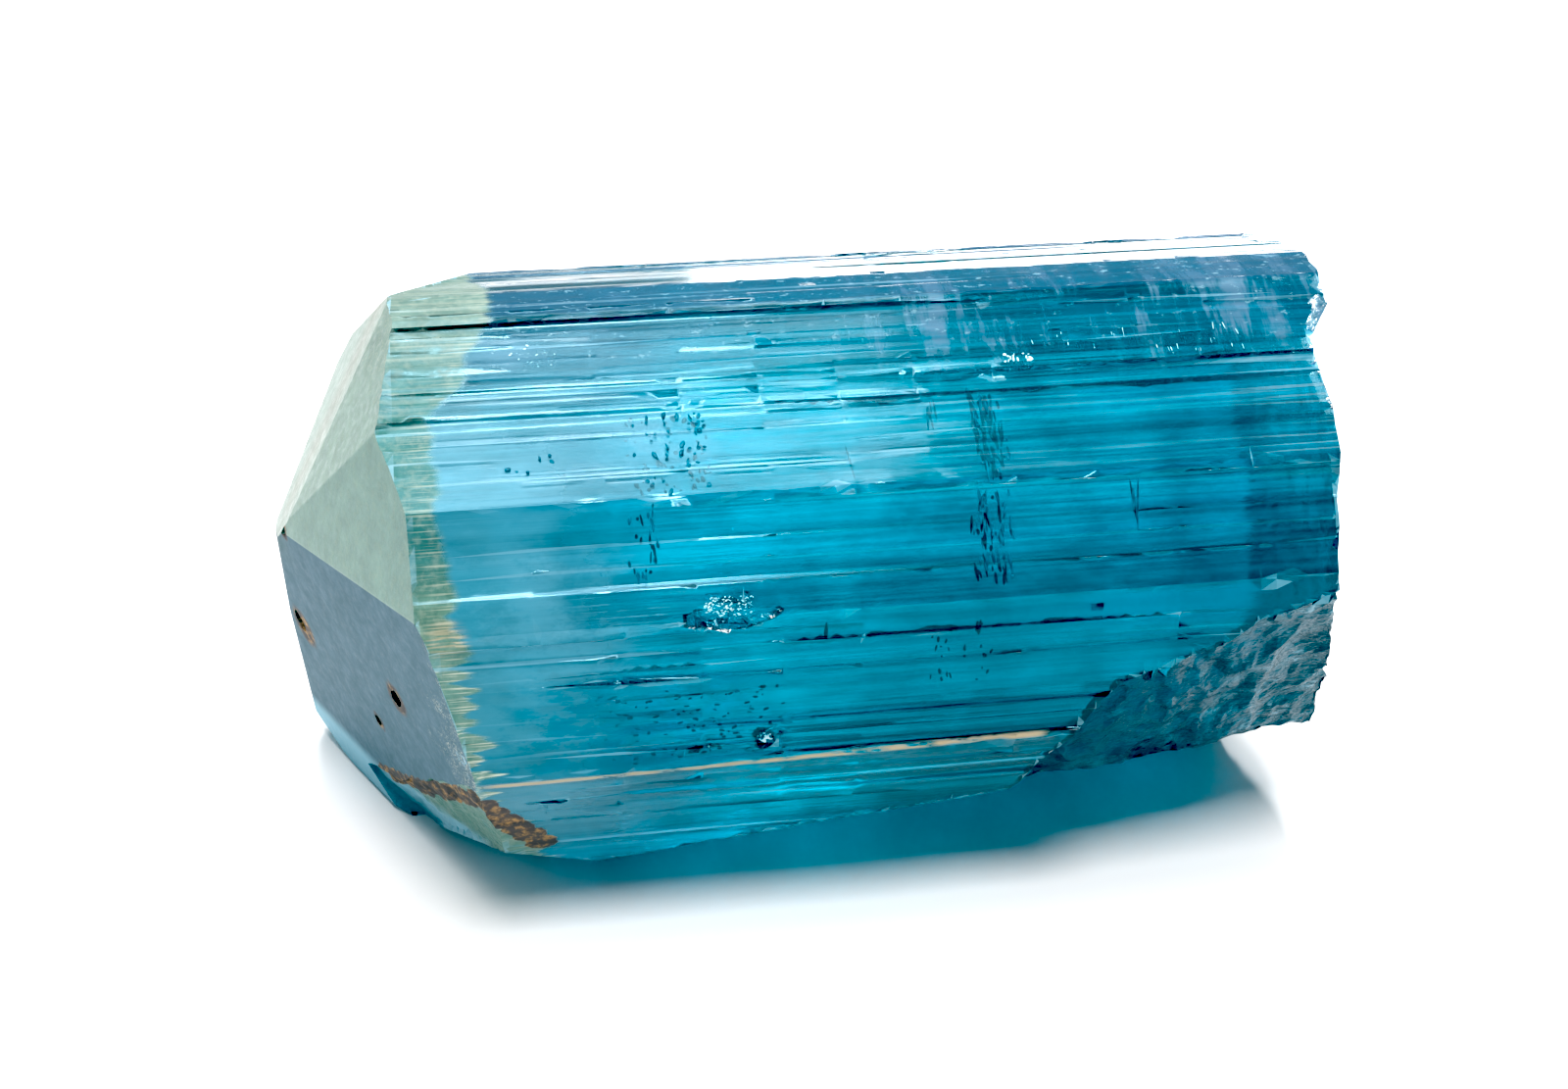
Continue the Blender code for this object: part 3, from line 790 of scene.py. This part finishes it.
    def pale_zone(self):
        """The cap and the pale zone behind it: painted shade on the cap's lower faces, and painted
        light on both near the table.
        """
        cap = self.mix(self.values["cap_shade"], self.colour("cap"), self.colour("cap_shaded"))
        tinted = self.mix(1.0, self.colour("cap"), CAP_TINT, "MULTIPLY")
        cap = self.mix(self.mask("tinted"), cap, tinted)
        sage = self.mix(self.mask("creamy"), self.colour("sage"), self.colour("cream"))
        sage = self.mix(self.mask("cap_like"), sage, self.colour("cap"))
        pale = self.mix(self.values["cap_face"], sage, cap)
        pale = self.shade(pale, "mottle", MOTTLE_SHADES)
        pale = self.mix(self.mask("dusted"), pale, self.colour("cream"))
        streaks = self.most(self.mask("streaks"), self.mask("high_streaks"))
        pale = self.mix(streaks, pale, self.colour("cream"))
        # Painted light near the table.
        return self.mix(self.mask("foot"), pale, self.colour("milk_and_light"))

    def mark_top(self, colour):
        """The top facets: painted shade in a band along the front one and in fine lines along the
        rear edge, and painted light on the ledge walls.
        """
        self.values["across_top"] = self.math("ADD", self.values["y"],
                                              self.stray("lines", TOP_STRAY))
        stripes = self.most(self.mask("top_band"), self.mask("rear_line"), self.mask("rear_edge"))
        stripes = self.product(stripes, self.keep("on_top"), self.values["blue"])
        self.values["shaded_top"] = self.most(stripes, self.mask("under_top"))
        # Painted shade along the top facets.
        colour = self.mix(self.values["shaded_top"], colour, self.colour("top_shade"))
        colour = self.mix(self.mask("specks"), colour, self.colour("milk_and_light"))
        # Painted light on the walls of the ledges.
        return self.mix(self.mask("lit_ledge_walls"), colour, self.colour("milk_and_light"))

    def mark_breaks(self, colour):
        """The breaks: painted shade in the scoop, and whitish where a shell lies open."""
        painted_shading = self.product(self.keep("scooped"), self.mask("shard_depths"))
        colour = self.mix(painted_shading, colour, self.colour("break_shade"))
        return self.mix(self.keep("white_shell"), colour, self.colour("milk_and_light"))

    def mark_iron(self, colour):
        """Iron: in the pits, along the rim of the cap and along the front lower edge."""
        crusts = []
        for spot, radius in PITS:
            off = self.math("ADD", self.distance(self.place, spot), self.stray("grain", PIT_STRAY))
            crusts.append(self.fade(off, radius * PIT_FADE, radius))
        spots = [self.fade(self.distance(self.place, spot), *RIM_REACH) for spot in rim_spots()]
        rim = self.math("ADD", self.most(*spots), self.stray("rim_grain"))
        crust = self.most(*crusts, self.fade(rim, *RIM_EDGE))
        height = self.fade(self.values["x"], *STAINED_EDGE)
        self.values["off_edge"] = self.math("ABSOLUTE",
                                            self.math("SUBTRACT", self.values["z"], height))
        self.values["off_smear"] = self.distance(self.place, SMEAR_PLACE)
        stain = self.most(self.mask("rust_line"), self.mask("smear"))
        self.values["iron"] = self.most(crust, stain)
        stained = self.mix(STAIN_CREAM, self.colour("rust"), self.colour("cream"))
        colour = self.mix(self.product(stain, STAIN_STRENGTH), colour, stained)
        rusty = self.mix(self.mask("rust_grains"), self.colour("dark_rust"), self.colour("rust"))
        return self.mix(crust, colour, rusty)

    def clearness(self):
        """The share of light let in: less where milk, iron or a break lies on the surface."""
        clear = self.blend(self.values["blue"], self.looks.cap_clearness, self.looks.clearness)
        kept = [self.fade(self.values[name], 0.0, 1.0, 1.0, left)
                for name, left in CLEARNESS_LEFT.items()]
        return self.product(clear, *kept, self.mask("clear_end"))

    def roughness(self):
        """The roughness: a satin cap, a glossy blue, and rougher breaks and iron."""
        cap = self.math("ADD", self.mask("cap_roughness"),
                        self.product(self.values["cap_shade"], SHADED_ROUGHNESS))
        rough = self.blend(self.values["blue"], cap, self.mask("blue_roughness"))
        return self.most(rough, self.product(self.values["broken"], BREAK_ROUGHNESS),
                         self.product(self.values["iron"], IRON_ROUGHNESS))

    def relief(self):
        """The finest relief: grooves, two steps at the rear of the top, grain and shards."""
        grooves = self.math("ADD", self.values["grooves"],
                            self.product(self.values["fine_grooves"], FINE_SHARE))
        grooves = self.product(self.math("SUBTRACT", grooves, MEAN_HEIGHT),
                               self.fade(self.mask("flat_top"), 0.0, 1.0, 1.0, FLAT_LEFT),
                               self.fade(self.values["cap_face"], 0.0, 1.0, 1.0, 0.0))
        steps = self.product(self.math("SUBTRACT", self.mask("rear_rise"), self.mask("rear_dip")),
                             self.values["on_top"])
        grain = self.product(self.values["grain"], self.values["cap_face"], GRAIN_HEIGHT)
        shards = self.product(self.values["shards"], self.values["broken"], SHARD_HEIGHT)
        height = self.math("ADD", grooves,
                           self.math("ADD", self.math("ADD", grain, shards), steps))
        return self.add("ShaderNodeBump", {"Strength": 1.0, "Distance": RELIEF_DEPTH,
                                           "Height": height}).outputs["Normal"]


def crystal_material(looks):
    """Clear tourmaline: pale at the cap, then blue, grooved, veiled and stained with iron."""
    material, _, shader = new_material("clear_tourmaline")
    graph = CrystalGraph(material.node_tree, looks)
    graph.find_front()
    graph.find_milk()
    body = graph.blue_body()
    colour = graph.mix(graph.values["blue"], graph.pale_zone(), body)
    colour = graph.mark_iron(graph.mark_breaks(graph.mark_top(colour)))
    surface = {"Base Color": colour, "Roughness": graph.roughness(),
               "Transmission Weight": graph.clearness(), "Normal": graph.relief(),
               "IOR": looks.ior, "Specular Tint": rgba(looks.gloss)}
    for name, value in surface.items():
        graph.feed(shader.inputs[name], value)
    volume = graph.add("ShaderNodeVolumeAbsorption", {"Color": rgba(looks.depth_colour),
                                                      "Density": looks.depth})
    output = material.node_tree.nodes["Material Output"]
    graph.feed(output.inputs["Volume"], volume.outputs["Volume"])
    return material


# --------------------------------------------------------------------------- what grew inside it

# How round a strewn body is, and what is added to the seed for its spot, its size and its lean.
BODY_ROUNDS = 2
SPOT_SALT, SIZE_SALT, LEAN_SALT = 1.0, 2.0, 3.0


def scatter_tree():
    """Small bodies strewn in a box, each with its own size and lean."""
    tree = bpy.data.node_groups.new("strewn_inclusions", "GeometryNodeTree")
    sockets = (("Count", "NodeSocketInt"), ("Spread", "NodeSocketVector"),
               ("Smallest", "NodeSocketVector"), ("Largest", "NodeSocketVector"),
               ("Lean", "NodeSocketVector"), ("Turn", "NodeSocketVector"),
               ("Place", "NodeSocketVector"), ("Seed", "NodeSocketInt"),
               ("Material", "NodeSocketMaterial"))
    for name, kind in sockets:
        tree.interface.new_socket(name=name, in_out="INPUT", socket_type=kind)
    tree.interface.new_socket(name="Geometry", in_out="OUTPUT",
                              socket_type="NodeSocketGeometry")
    graph = Graph(tree)
    given = graph.add("NodeGroupInput").outputs

    def any_vector(low, high, salt):
        """A random vector between two others."""
        seed = graph.math("ADD", given["Seed"], salt)
        node = graph.add("FunctionNodeRandomValue", {0: low, 1: high, "Seed": seed},
                         data_type="FLOAT_VECTOR")
        return node.outputs[0]

    def minus(vector):
        """A vector turned round."""
        return graph.add("ShaderNodeVectorMath", {0: vector, 1: (-1.0, -1.0, -1.0)},
                         operation="MULTIPLY").outputs[0]

    spots = graph.add("GeometryNodePoints", {
        "Count": given["Count"],
        "Position": any_vector(minus(given["Spread"]), given["Spread"], SPOT_SALT)})
    seed_body = graph.add("GeometryNodeMeshIcoSphere", {"Radius": 1.0,
                                                         "Subdivisions": BODY_ROUNDS})
    strewn = graph.add("GeometryNodeInstanceOnPoints", {
        "Points": spots.outputs[0], "Instance": seed_body.outputs["Mesh"],
        "Scale": any_vector(given["Smallest"], given["Largest"], SIZE_SALT),
        "Rotation": any_vector(minus(given["Lean"]), given["Lean"], LEAN_SALT)})
    set_down = graph.add("GeometryNodeTransform", {
        "Geometry": strewn.outputs[0], "Translation": given["Place"], "Rotation": given["Turn"]})
    real = graph.add("GeometryNodeRealizeInstances", {"Geometry": set_down.outputs[0]})
    painted = graph.add("GeometryNodeSetMaterial", {"Geometry": real.outputs[0],
                                                    "Material": given["Material"]})
    end = graph.add("NodeGroupOutput")
    graph.feed(end.inputs[0], painted.outputs[0])
    return tree


def strew(tree, cluster, material, seed):
    """The mesh of one cluster."""
    carrier = bpy.data.objects.new("cluster", bpy.data.meshes.new("cluster"))
    bpy.context.scene.collection.objects.link(carrier)
    modifier = carrier.modifiers.new("strewn", "NODES")
    modifier.node_group = tree
    values = {
        "Count": cluster.count,
        "Spread": tuple(value * MM for value in cluster.spread),
        "Smallest": tuple(value * MM for value in cluster.low),
        "Largest": tuple(value * MM for value in cluster.high),
        "Lean": tuple(math.radians(value) for value in cluster.lean),
        "Turn": (math.radians(90.0 - cluster.turn), 0.0, 0.0),
        "Place": tuple(at(*cluster.place)),
        "Seed": seed,
        "Material": material,
    }
    for item in tree.interface.items_tree:
        if item.in_out == "INPUT":
            modifier[item.identifier] = values[item.name]
    shown = carrier.evaluated_get(bpy.context.evaluated_depsgraph_get())
    mesh = bpy.data.meshes.new_from_object(shown)
    carrier.modifiers.remove(modifier)
    bpy.data.objects.remove(carrier)
    return mesh


def strewn_piece(name, clusters, material, first_seed):
    """One piece made of several clusters."""
    tree = scatter_tree()
    bm = bmesh.new()
    for number, cluster in enumerate(clusters):
        mesh = strew(tree, cluster, material, first_seed + number)
        bm.from_mesh(mesh)
        bpy.data.meshes.remove(mesh)
    mesh = bpy.data.meshes.new(name)
    bm.to_mesh(mesh)
    bm.free()
    mesh.materials.clear()
    mesh.materials.append(material)
    return add_piece(name, mesh)


def add_piece(name, mesh):
    """A piece of the crystal in the scene, which rides with it."""
    piece = bpy.data.objects.new(name, mesh)
    bpy.context.scene.collection.objects.link(piece)
    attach(piece, "root")
    return piece


# Dark slivers in the faces: turn of the face, place, half spread (along, across, deep), count,
# smallest and largest half size, and lean in degrees. All sizes are in mm. Some stand out of the
# surface by up to 0.2 mm, and so do some of the pale flakes.
DARK_CLUSTERS = (
    Cluster(60, (20.2, -6.1, 4.55), (0.40, 1.35, 0.15), 80,
            (0.02, 0.04, 0.01), (0.06, 0.40, 0.03), (4, 4, 12)),
    Cluster(30, (19.9, -8.15, 2.45), (0.55, 1.20, 0.15), 70,
            (0.02, 0.04, 0.01), (0.05, 0.30, 0.03), (4, 4, 14)),
    Cluster(60, (16.2, -6.72, 4.25), (0.02, 0.02, 0.02), 1,
            (0.03, 0.60, 0.02), (0.03, 0.62, 0.02), (0, 0, 8)),
    Cluster(60, (18.7, -5.50, 4.95), (0.20, 0.30, 0.05), 7,
            (0.02, 0.15, 0.01), (0.04, 0.45, 0.02), (2, 2, 6)),
    Cluster(60, (11.3, -6.10, 4.55), (1.10, 1.30, 0.20), 110,
            (0.02, 0.02, 0.01), (0.07, 0.13, 0.03), (4, 4, 30)),
    Cluster(30, (10.4, -7.90, 2.90), (0.40, 1.00, 0.20), 26,
            (0.02, 0.03, 0.01), (0.05, 0.20, 0.03), (4, 4, 12)),
    Cluster(60, (7.6, -6.30, 4.45), (1.20, 0.50, 0.10), 14,
            (0.03, 0.03, 0.01), (0.09, 0.09, 0.03), (4, 4, 30)),
    Cluster(30, (24.0, -7.85, 3.00), (0.10, 0.30, 0.05), 4,
            (0.02, 0.20, 0.01), (0.04, 0.60, 0.02), (2, 2, 6)),
    Cluster(0, (15.2, -8.95, 0.30), (0.04, 0.10, 0.03), 3,
            (0.03, 0.20, 0.01), (0.06, 0.40, 0.02), (2, 2, 5)),
    Cluster(0, (19.4, -8.95, 0.20), (0.06, 0.15, 0.03), 4,
            (0.03, 0.15, 0.01), (0.06, 0.35, 0.02), (2, 2, 8)),
    Cluster(0, (11.5, -8.80, -2.3), (2.60, 1.10, 0.20), 130,
            (0.02, 0.015, 0.01), (0.10, 0.045, 0.03), (4, 4, 20)),
    Cluster(0, (19.0, -8.80, -0.8), (0.90, 0.90, 0.20), 24,
            (0.02, 0.02, 0.01), (0.05, 0.12, 0.03), (4, 4, 20)),
)

# Pale flakes of healed cracks, given in the same way.
PALE_CLUSTERS = (
    Cluster(60, (21.5, -3.85, 5.85), (0.42, 0.42, 0.08), 90,
            (0.01, 0.03, 0.004), (0.05, 0.09, 0.008), (8, 8, 40)),
    Cluster(60, (26.8, -3.70, 5.95), (1.50, 0.50, 0.12), 60,
            (0.006, 0.03, 0.004), (0.015, 0.14, 0.008), (6, 6, 10)),
    Cluster(60, (23.6, -3.40, 6.10), (1.60, 0.35, 0.12), 40,
            (0.006, 0.03, 0.004), (0.015, 0.12, 0.008), (6, 6, 8)),
    Cluster(60, (7.6, -3.00, 6.35), (0.90, 0.40, 0.08), 80,
            (0.01, 0.01, 0.004), (0.06, 0.03, 0.008), (8, 8, 40)),
    Cluster(0, (12.6, -8.85, 1.30), (0.65, 0.32, 0.08), 130,
            (0.01, 0.01, 0.004), (0.05, 0.03, 0.008), (12, 12, 40)),
    Cluster(0, (13.5, -8.95, -2.95), (0.20, 0.18, 0.05), 20,
            (0.02, 0.02, 0.004), (0.06, 0.05, 0.008), (12, 12, 40)),
)

# The two kinds of inclusion: the size of their blotches in 1/m, their two colours and roughness.
SLIVER_BLOTCHES, FLAKE_BLOTCHES = 4000.0, 3000.0
SLIVER_COLOURS = ((0.35, (0.0, 0.05, 0.09, 1.0)), (0.65, (0.0, 0.14, 0.22, 1.0)))
FLAKE_COLOURS = ((0.35, (0.20, 0.55, 0.66, 1.0)), (0.65, (0.6, 0.85, 0.92, 1.0)))
SLIVER_ROUGHNESS, FLAKE_ROUGHNESS = 0.5, 0.3
SLIVER_SEED, FLAKE_SEED = 11, 51


def blotched_material(name, scale, colours, roughness):
    """A material whose colour wanders between two."""
    material, graph, shader = new_material(name)
    coords = graph.add("ShaderNodeTexCoord").outputs["Object"]
    blotches = graph.noise(coords, (scale,) * 3)
    graph.feed(shader.inputs["Base Color"], graph.ramp(blotches, colours, 0.0, 1.0))
    shader.inputs["Roughness"].default_value = roughness
    return material


class TOURMALINE_OT_crystal(bpy.types.Operator):
    """Build the crystal itself"""
    bl_idname = "tourmaline.crystal"
    bl_label = "Build crystal"

    def execute(self, context):
        mesh = crystal_mesh(context.scene.tourmaline_shape)
        mesh.materials.append(crystal_material(context.scene.tourmaline_colours))
        piece = add_piece("clear_crystal", mesh)
        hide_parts(NODE)
        return {"FINISHED"}


class TOURMALINE_OT_dark_slivers(bpy.types.Operator):
    """Strew the dark slivers that lie in the faces"""
    bl_idname = "tourmaline.dark_slivers"
    bl_label = "Strew dark slivers"

    def execute(self, context):
        material = blotched_material("dark_slivers", SLIVER_BLOTCHES, SLIVER_COLOURS,
                                     SLIVER_ROUGHNESS)
        strewn_piece("dark_slivers", DARK_CLUSTERS, material, SLIVER_SEED)
        return {"FINISHED"}


class TOURMALINE_OT_pale_flakes(bpy.types.Operator):
    """Strew the pale flakes of healed cracks"""
    bl_idname = "tourmaline.pale_flakes"
    bl_label = "Strew pale flakes"

    def execute(self, context):
        material = blotched_material("pale_flakes", FLAKE_BLOTCHES, FLAKE_COLOURS,
                                     FLAKE_ROUGHNESS)
        strewn_piece("pale_flakes", PALE_CLUSTERS, material, FLAKE_SEED)
        return {"FINISHED"}


class TOURMALINE_OT_stage(bpy.types.Operator):
    """Set the table, the lights and the camera"""
    bl_idname = "tourmaline.stage"
    bl_label = "Set the stage"

    def execute(self, context):
        looks = context.scene.tourmaline_stage
        add_table(looks)
        add_lights(looks)
        add_camera(looks)
        return {"FINISHED"}


# The table: half its width in m, how finely its tone wanders in 1/m, its darker share, and its
# roughness.
TABLE_REACH, TABLE_BLOTCHES, TABLE_DARKER, TABLE_ROUGHNESS = 2.0, 60.0, 0.97, 0.7

# The lights: name of their radiance in the looks, place, aim and size in m, and whether the faces
# of the crystal mirror them.
LIGHTS = (
    Light("key_light", (-0.01, -0.095, 0.24), (0.0, 0.0, 0.0), (0.07, 0.07), True),
    Light("through_light", (0.01, 0.11, 0.24), (0.0, 0.0, 0.0), (0.10, 0.10), False),
    Light("veil_light", (0.0, 0.0, 0.25), (0.0, 0.0, 0.0), (0.10, 0.09), True),
    Light("back_light", (0.075, 0.22, 0.02), (0.075, 0.0, 0.01), (0.115, 0.034), True),
)
SKY_COLOUR = (0.97, 0.99, 1.0, 1.0)

# The camera: how far it is raised above the table and turned to the left, what it looks at, the
# width of its sensor in mm, what it sees in m, and the levels shown as black and white.
CAMERA_RAISE, CAMERA_TURN = math.radians(28.0), math.radians(8.5)
CAMERA_AIM = (15.2728, -0.7138, -1.3424)
SENSOR_WIDTH = 36.0
CLIP_START, CLIP_END = 0.001, 10.0
BLACK_LEVEL, WHITE_LEVEL = (0.06, 0.035, 0.03), (0.62, 0.62, 0.62)


def add_table(looks):
    """A wide white table top."""
    bm = bmesh.new()
    bmesh.ops.create_grid(bm, x_segments=2, y_segments=2, size=TABLE_REACH)
    mesh = bpy.data.meshes.new("table_top")
    bm.to_mesh(mesh)
    bm.free()
    material, graph, shader = new_material("white_table")
    coords = graph.add("ShaderNodeTexCoord").outputs["Object"]
    blotches = graph.noise(coords, (TABLE_BLOTCHES,) * 3)
    darker = rgba([TABLE_DARKER * value for value in looks.table])
    graph.feed(shader.inputs["Base Color"], graph.mix(blotches, rgba(looks.table), darker))
    shader.inputs["Roughness"].default_value = TABLE_ROUGHNESS
    mesh.materials.append(material)
    table = bpy.data.objects.new("table_top", mesh)
    bpy.context.scene.collection.objects.link(table)


def add_area_light(light, radiance):
    """A soft rectangular light. Its radiance is that of its surface."""
    data = bpy.data.lights.new(light.name, "AREA")
    data.shape = "RECTANGLE"
    data.size, data.size_y = light.size
    data.energy = radiance * math.pi * light.size[0] * light.size[1]
    item = bpy.data.objects.new(light.name, data)
    item.visible_glossy = light.mirrored
    item.location = light.place
    way = Vector(light.aim) - Vector(light.place)
    item.rotation_euler = way.to_track_quat("-Z", "Y").to_euler()
    bpy.context.scene.collection.objects.link(item)


def add_lights(looks):
    """A white room, and lights overhead and behind the crystal."""
    world = bpy.data.worlds.new("white_room")
    world.use_nodes = True
    background = world.node_tree.nodes["Background"]
    background.inputs["Color"].default_value = SKY_COLOUR
    background.inputs["Strength"].default_value = looks.sky
    bpy.context.scene.world = world
    for light in LIGHTS:
        add_area_light(light, getattr(looks, light.name))


def add_camera(looks):
    """The camera, above the table and a little to the left of the front, and its white point."""
    data = bpy.data.cameras.new("camera")
    data.lens = looks.lens
    data.sensor_width = SENSOR_WIDTH
    data.sensor_fit = "HORIZONTAL"
    data.clip_start = CLIP_START
    data.clip_end = CLIP_END
    camera = bpy.data.objects.new("camera", data)
    camera.rotation_euler = Euler((math.pi / 2 - CAMERA_RAISE, 0.0, -CAMERA_TURN))
    level = math.cos(CAMERA_RAISE)
    back = Vector((-math.sin(CAMERA_TURN) * level, -math.cos(CAMERA_TURN) * level,
                   math.sin(CAMERA_RAISE)))
    camera.location = at(*CAMERA_AIM) + back * looks.distance
    bpy.context.scene.collection.objects.link(camera)
    bpy.context.scene.camera = camera
    view = bpy.context.scene.view_settings
    view.view_transform = "Standard"
    view.use_curve_mapping = True
    view.curve_mapping.black_level = BLACK_LEVEL
    view.curve_mapping.white_level = WHITE_LEVEL
    view.curve_mapping.update()


class TOURMALINE_PT_panel(bpy.types.Panel):
    """Lists the pieces of the crystal"""
    bl_label = "Blue tourmaline"
    bl_idname = "TOURMALINE_PT_panel"
    bl_space_type = "VIEW_3D"
    bl_region_type = "UI"
    bl_category = "Tourmaline"

    def draw(self, context):
        """Show the operators and their settings"""
        for operator in OPERATORS:
            self.layout.operator(operator.bl_idname)
        for group in (context.scene.tourmaline_shape, context.scene.tourmaline_colours,
                      context.scene.tourmaline_stage):
            box = self.layout.box()
            for name in group.__annotations__:
                box.prop(group, name)


OPERATORS = (TOURMALINE_OT_stage, TOURMALINE_OT_crystal, TOURMALINE_OT_dark_slivers,
             TOURMALINE_OT_pale_flakes)
CLASSES = (CrystalColours, CrystalShape, StageLooks) + OPERATORS + (TOURMALINE_PT_panel,)


def register():
    """Register the classes, and keep their settings on the scene."""
    for item in CLASSES:
        bpy.utils.register_class(item)
    bpy.types.Scene.tourmaline_colours = PointerProperty(type=CrystalColours)
    bpy.types.Scene.tourmaline_shape = PointerProperty(type=CrystalShape)
    bpy.types.Scene.tourmaline_stage = PointerProperty(type=StageLooks)


def unregister():
    """Take the settings off the scene, and unregister the classes."""
    del bpy.types.Scene.tourmaline_stage
    del bpy.types.Scene.tourmaline_shape
    del bpy.types.Scene.tourmaline_colours
    for item in reversed(CLASSES):
        bpy.utils.unregister_class(item)


def main():
    """Build every piece."""
    register()
    bpy.ops.tourmaline.stage()
    bpy.ops.tourmaline.crystal()
    bpy.ops.tourmaline.dark_slivers()
    bpy.ops.tourmaline.pale_flakes()


if __name__ == "__main__":
    main()
